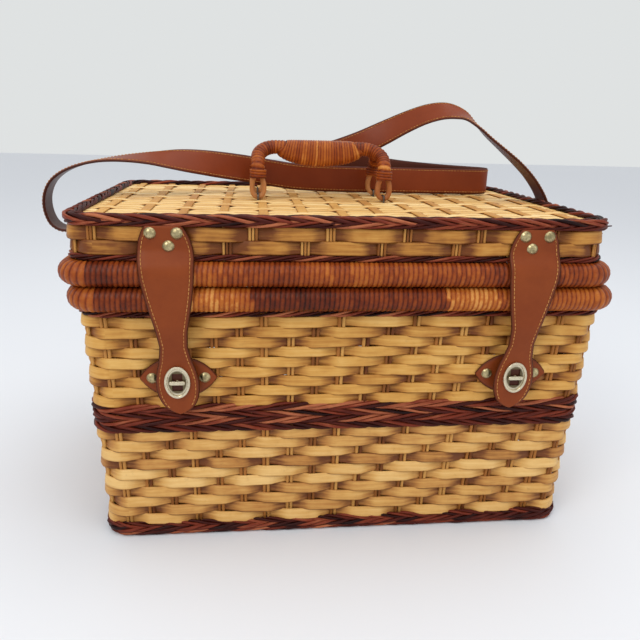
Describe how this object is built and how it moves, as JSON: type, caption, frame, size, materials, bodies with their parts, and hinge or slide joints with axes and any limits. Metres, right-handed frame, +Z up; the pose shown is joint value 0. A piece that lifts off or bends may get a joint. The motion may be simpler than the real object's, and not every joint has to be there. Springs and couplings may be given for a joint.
{
  "type": "picnic basket",
  "caption": "Rectangular wicker picnic basket with a hinged lid, two leather turn-lock closures, a wrapped cane handle and a leather shoulder strap.",
  "frame": {"origin": "centre of the basket's underside, on the surface that it stands on", "axes": "+X to the right seen from the front, +Y from the front to the hinges, +Z up"},
  "size_m": [0.5231, 0.3109, 0.3907],
  "materials": {
    "woven_reed": "satin",
    "stake_reed": "satin",
    "dark_willow": "satin",
    "wrap_reed": "satin",
    "cane": "satin",
    "leather": "satin",
    "strap_leather": "satin",
    "brass": "satin",
    "steel_wire": "satin"
  },
  "bodies": {
    "basket": {"bottom_border": "dark_willow", "base_panel": "woven_reed", "base_ribs": "stake_reed", "lower_weave": "woven_reed", "middle_band": "dark_willow", "upper_weave": "woven_reed", "upper_band": "dark_willow", "wall_stakes": "stake_reed", "body_rim_hoop": "cane", "body_rim_wrap": "wrap_reed", "left_catch_tab": "leather", "right_catch_tab": "leather", "left_catch": "brass", "right_catch": "brass", "catch_tab_rivets": "brass", "left_hinge_body_leaf": "leather", "right_hinge_body_leaf": "leather", "hinge_body_rivets": "brass"},
    "lid": {"lid_rim_hoop": "cane", "lid_rim_wrap": "wrap_reed", "lid_band": "dark_willow", "lid_weave": "woven_reed", "lid_border": "dark_willow", "lid_stakes": "stake_reed", "lid_panel": "woven_reed", "lid_ribs": "stake_reed", "left_flap_anchor": "leather", "right_flap_anchor": "leather", "flap_rivets": "brass", "left_hinge_lid_leaf": "leather", "right_hinge_lid_leaf": "leather", "hinge_lid_rivets": "brass", "handle_front_cane": "cane", "handle_back_cane": "cane", "handle_leg_wraps": "wrap_reed", "handle_grip_wrap": "wrap_reed", "handle_eyes": "cane", "handle_collars": "wrap_reed", "handle_staples": "steel_wire", "left_strap_tab": "leather", "right_strap_tab": "leather", "left_strap_ring": "brass", "right_strap_ring": "brass", "strap_tab_rivets": "brass", "shoulder_strap": "strap_leather"},
    "left_flap": {"left_flap_tail": "leather", "left_eyelet_plate": "brass"},
    "left_knob": {"left_turn_knob": "brass", "left_knob_shank": "brass"},
    "right_flap": {"right_flap_tail": "leather", "right_eyelet_plate": "brass"},
    "right_knob": {"right_turn_knob": "brass", "right_knob_shank": "brass"}
  },
  "joints": [
    {"name": "lid_open", "type": "hinge", "parent": "basket", "child": "lid", "pos_m": [0, 0.1553, 0.2387], "axis": [-1, 0, 0], "range_deg": [0, 105]},
    {"name": "left_flap_swing", "type": "hinge", "parent": "lid", "child": "left_flap", "pos_m": [-0.149, -0.15558, 0.256], "axis": [-1, 0, 0], "range_deg": [0, 150]},
    {"name": "left_lock_turn", "type": "hinge", "parent": "left_flap", "child": "left_knob", "pos_m": [-0.1435, -0.15, 0.16], "axis": [0, -1, 0], "range_deg": [0, 90]},
    {"name": "right_flap_swing", "type": "hinge", "parent": "lid", "child": "right_flap", "pos_m": [0.149, -0.15558, 0.256], "axis": [-1, 0, 0], "range_deg": [0, 150]},
    {"name": "right_lock_turn", "type": "hinge", "parent": "right_flap", "child": "right_knob", "pos_m": [0.1435, -0.15, 0.16], "axis": [0, -1, 0], "range_deg": [0, 90]}
  ]
}
